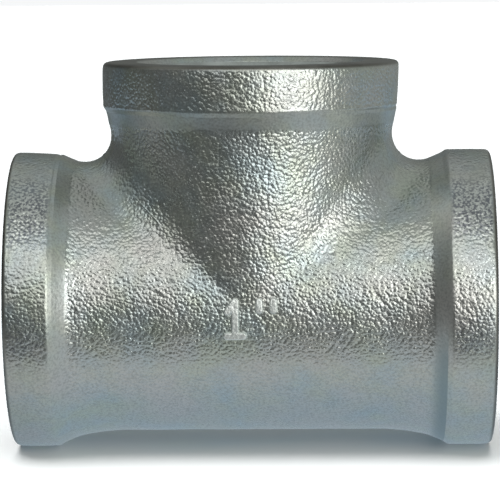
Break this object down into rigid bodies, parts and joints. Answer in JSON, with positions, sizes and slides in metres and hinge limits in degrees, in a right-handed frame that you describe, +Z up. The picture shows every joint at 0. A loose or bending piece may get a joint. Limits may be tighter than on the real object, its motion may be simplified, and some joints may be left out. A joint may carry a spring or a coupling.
{
  "type": "pipe tee",
  "caption": "Banded female-threaded pipe tee with a straight run and an equal branch, in galvanised malleable iron.",
  "frame": {"origin": "on the ground under the crossing of the run and branch axes, when the tee stands on its two run bands with the branch up", "axes": "+X along the run towards the right socket, +Y away from the face that carries the size mark, +Z up the branch"},
  "size_m": [0.076, 0.0474, 0.0617],
  "materials": {
    "cast_wall": "galvanised as-cast skin, bright with a fine orange-peel grain",
    "cast_band": "galvanised as-cast skin, end face machined flat",
    "machined_thread": "machined thread under a thin zinc coat",
    "cast_mark": "galvanised as-cast skin"
  },
  "bodies": {
    "root": {"tee_body": "cast_wall", "left_band": "cast_band", "right_band": "cast_band", "branch_band": "cast_band", "left_thread": "machined_thread", "right_thread": "machined_thread", "branch_thread": "machined_thread", "size_mark_figure": "cast_mark", "size_mark_tick_left": "cast_mark", "size_mark_tick_right": "cast_mark"}
  },
  "joints": []
}
